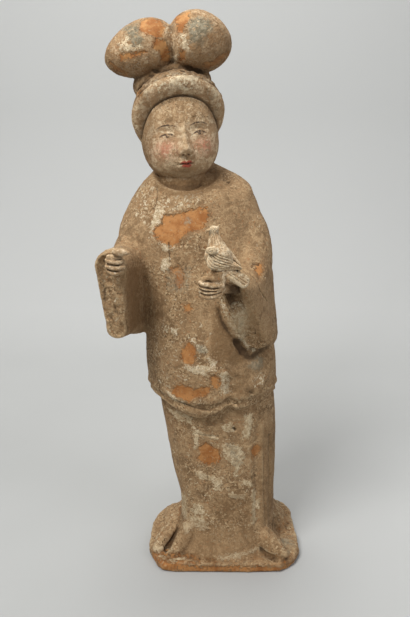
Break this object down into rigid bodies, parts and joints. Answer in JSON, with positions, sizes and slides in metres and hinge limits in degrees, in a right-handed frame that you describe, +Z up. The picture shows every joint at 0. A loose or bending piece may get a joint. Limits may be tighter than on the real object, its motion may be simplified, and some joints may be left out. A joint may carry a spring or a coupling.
{
  "type": "tomb figure",
  "caption": "Earthenware figure of a plump standing court lady in a long robe with a two-lobed topknot and a small bird on her left fist, on a thin slab.",
  "frame": {"origin": "centre of the slab's flat underside, which rests on the surface that the figure stands on", "axes": "+Z up along the standing figure; -Y the way she faces; +X to the viewer's right when facing her, which is her own left"},
  "size_m": [0.1631, 0.1585, 0.4502],
  "materials": {
    "figure": "unglazed low-fired earthenware with remains of pale slip and a matt crust of burial earth"
  },
  "bodies": {
    "root": {"figure": "figure"}
  },
  "joints": []
}
